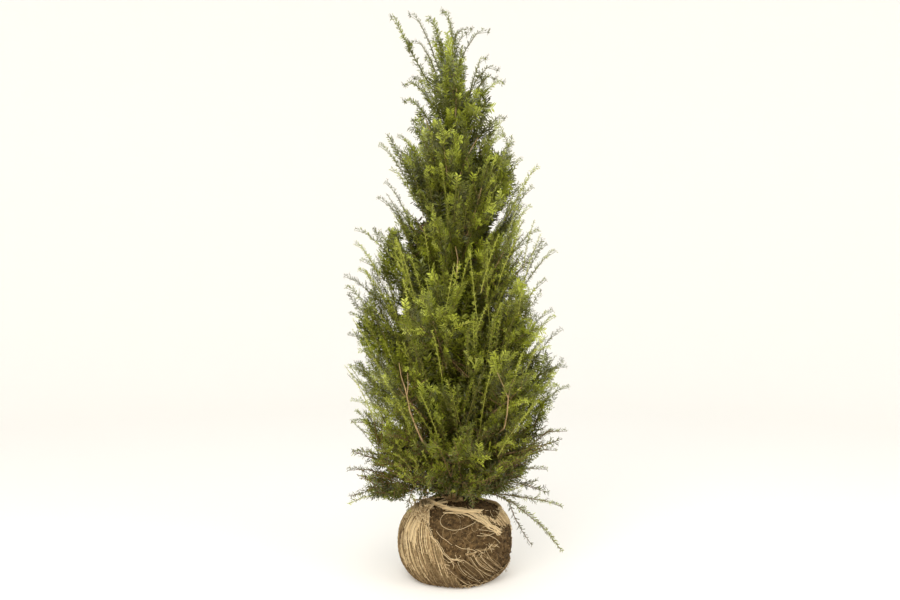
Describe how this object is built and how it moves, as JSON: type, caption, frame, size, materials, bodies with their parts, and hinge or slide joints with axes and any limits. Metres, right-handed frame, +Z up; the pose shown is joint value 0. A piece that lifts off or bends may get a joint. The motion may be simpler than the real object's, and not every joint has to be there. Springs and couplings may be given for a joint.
{
  "type": "nursery yew with root ball",
  "caption": "Young conical yew, lifted with its root ball, which torn jute wraps and which it stands on.",
  "frame": {"origin": "centre of the flat underside of the root ball, where the plant stands on the floor", "axes": "+Z up along the trunk, -Y the front seen in the picture, +X to the picture's right"},
  "size_m": [0.7225, 0.7051, 1.8619],
  "materials": {
    "soil": "matte",
    "jute": "matte",
    "bark": "matte",
    "needles": "satin"
  },
  "bodies": {
    "root": {"bough_low_1": "bark", "bough_low_2": "bark", "bough_low_3": "bark", "bough_low_4": "bark", "bough_low_5": "bark", "bough_side_1": "bark", "bough_side_2": "bark", "bough_side_3": "bark", "bough_side_4": "bark", "bough_side_5": "bark", "foliage_high_1": "needles", "foliage_high_2": "needles", "foliage_high_3": "needles", "foliage_high_4": "needles", "foliage_higher_1": "needles", "foliage_higher_2": "needles", "foliage_higher_3": "needles", "foliage_higher_4": "needles", "foliage_highest_1": "needles", "foliage_highest_2": "needles", "foliage_highest_3": "needles", "foliage_highest_4": "needles", "foliage_inner_high_1": "needles", "foliage_inner_high_2": "needles", "foliage_inner_low_1": "needles", "foliage_inner_low_2": "needles", "foliage_inner_mid_1": "needles", "foliage_inner_mid_2": "needles", "foliage_leader_centre": "needles", "foliage_leader_left": "needles", "foliage_leader_right": "needles", "foliage_low_1": "needles", "foliage_low_2": "needles", "foliage_low_3": "needles", "foliage_low_4": "needles", "foliage_low_5": "needles", "foliage_shoulder_1": "needles", "foliage_shoulder_2": "needles", "foliage_shoulder_3": "needles", "foliage_shoulder_4": "needles", "foliage_side_1": "needles", "foliage_side_2": "needles", "foliage_side_3": "needles", "foliage_side_4": "needles", "foliage_side_5": "needles", "foliage_skirt_1": "needles", "foliage_skirt_2": "needles", "foliage_skirt_3": "needles", "foliage_skirt_4": "needles", "foliage_trailing": "needles", "foliage_upper_side_1": "needles", "foliage_upper_side_2": "needles", "foliage_upper_side_3": "needles", "foliage_upper_side_4": "needles", "foliage_upper_side_5": "needles", "jute_rim": "jute", "jute_wrap": "jute", "soil_ball": "soil", "trunk": "bark"}
  },
  "joints": []
}
